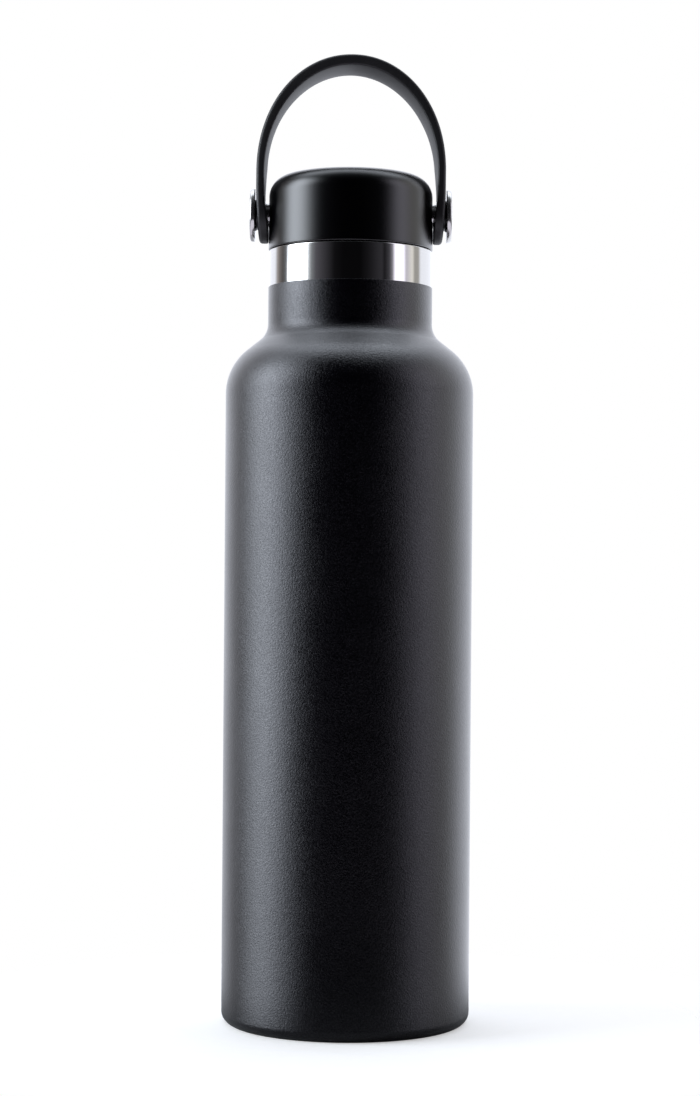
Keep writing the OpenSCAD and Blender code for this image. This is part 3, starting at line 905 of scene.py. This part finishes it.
def make_world():
    world = bpy.data.worlds.new("studio")
    bpy.context.scene.world = world
    tree = empty_tree(world)
    x, y, z = split(tree, add(tree, "TexCoord", out="Generated"))
    azimuth = calc(tree, "ARCTAN2", x, calc(tree, "MULTIPLY", y, -1.0))
    turn = remap(tree, azimuth, over=(-math.pi, math.pi), to=(0.0, 1.0))
    safe_z = calc(tree, "MAXIMUM", calc(tree, "MINIMUM", z, 1.0), -1.0)
    elevation = calc(tree, "MULTIPLY", calc(tree, "ARCSINE", safe_z), 180 / math.pi)

    def by_compass(stops):
        return ramp(tree, turn, [((angle + 180) / 360, value) for angle, value in stops])

    def by_height(*stops):
        """Stops of (elevation in degrees, grey level)."""
        fraction = remap(tree, elevation, over=(-90.0, 90.0), to=(0.0, 1.0))
        return ramp(tree, fraction, [((90 + angle) / 180, grey) for angle, grey in stops])

    def side_colour(angle, radiance):
        tint = next(tint for end, tint in TINTS if angle < end)
        return tuple(c * radiance / PEAK for c in tint)

    side = by_compass([(angle, side_colour(angle, radiance)) for angle, radiance in SIDES])
    # how much of a direction belongs to the white paper behind the bottle
    back = by_compass([(-180, 1), (-133, 1), (-122, 0), (112, 0), (122, 1), (180, 1)])
    lights = by_height((-90, 0), (-18, 0), (0, 1), (36, 1), (50, 0.12), (64, 0.10), (90, 0.05))
    paper_left = by_height((-90, 0.3), (-20, 0.4), (4, 1), (90, 1))
    paper_right = by_height((-90, 0.8), (-20, 1.05), (4, 1), (90, 1))
    on_right = calc(tree, "GREATER_THAN", azimuth, 0.0)
    paper_wall = mix(tree, on_right, paper_left, paper_right)
    # high up, a long panel hangs over the bottle and behind it
    high = by_height((-90, 0), (42, 0), (58, 1), (90, 1))
    over_top = calc(tree, "ARCTAN2", z, calc(tree, "MULTIPLY", y, -1.0))
    tilt = calc(tree, "MULTIPLY", over_top, 1 / math.pi)
    panel = ramp(tree, tilt, [(angle / 180, tuple(radiance * c / PEAK for c in OVER_TINT))
                              for angle, radiance in PANEL])
    table = by_height((-90, 0.4), (-60, 1.0), (-32, 1.0), (-24, 0), (90, 0))
    table_colour = tuple(TABLE_LIGHT * c / PEAK for c in TABLE_TINT)

    walls = mix(tree, 1.0, side, mix(tree, back, lights, paper_wall), blend="MULTIPLY")
    front = mix(tree, back, (1.0, 1.0, 1.0), (0.0, 0.0, 0.0))
    front_table = mix(tree, 1.0, table, front, blend="MULTIPLY")
    below = mix(tree, 1.0, front_table, table_colour, blend="MULTIPLY")
    lit = mix(tree, high, mix(tree, 1.0, walls, below, blend="ADD"), panel)
    studio = add(tree, "Background", {"Color": lit, "Strength": PEAK})
    # the camera itself sees plain white
    paper = add(tree, "Background", {"Color": (1.0, 1.0, 1.0), "Strength": 1.0})
    camera_ray = add(tree, "LightPath", out="Is Camera Ray")
    shown = add(tree, "MixShader", {0: camera_ray, 1: studio, 2: paper})
    output = tree.nodes.new("ShaderNodeOutputWorld")
    feed(tree, output.inputs["Surface"], shown)


STRIP_SIZE = (0.9, 0.5)         # metres
STRIP_RADIANCE = 3.06


def make_strip():
    """A soft strip over the shoulder; it lights the coat alone."""
    data = bpy.data.lights.new("shoulder_strip", "AREA")
    data.shape = "RECTANGLE"
    data.size, data.size_y = STRIP_SIZE
    data.energy = STRIP_RADIANCE * math.pi * STRIP_SIZE[0] * STRIP_SIZE[1]
    data.color = (0.86, 0.92, 1.0)
    strip = bpy.data.objects.new("shoulder_strip", data)
    bpy.context.scene.collection.objects.link(strip)
    strip.location = (0.0, 0.04, 1.2)
    strip.visible_camera = False
    receivers = bpy.data.collections.new("strip_receivers")
    receivers.objects.link(coat)
    strip.light_linking.receiver_collection = receivers


# ------------------------------------------------------------------ camera

CAMERA_PLACE = (0.0, -0.714, 0.1308)        # metres
CAMERA_ROLL = 0.43                          # degrees about the line of sight
LENS = 79.39051095
SHIFT_X, SHIFT_Y = 0.00173357664, 0.02737226277     # parts of the picture's width


def make_camera():
    data = bpy.data.cameras.new("camera")
    camera = bpy.data.objects.new("camera", data)
    bpy.context.scene.collection.objects.link(camera)
    camera.location = CAMERA_PLACE
    level = Matrix.Rotation(math.radians(90), 3, "X")
    roll = Matrix.Rotation(math.radians(CAMERA_ROLL), 3, "Z")
    camera.rotation_euler = (level @ roll).to_euler()
    data.sensor_width = 36.0
    data.lens = LENS
    data.shift_x = SHIFT_X
    data.shift_y = SHIFT_Y
    data.clip_start = 0.01
    bpy.context.scene.camera = camera


make_floor()
make_world()
make_strip()
make_camera()

view = bpy.context.scene.view_settings
view.view_transform = "Standard"
view.look = "None"
view.exposure = 0.0
view.gamma = 1.0
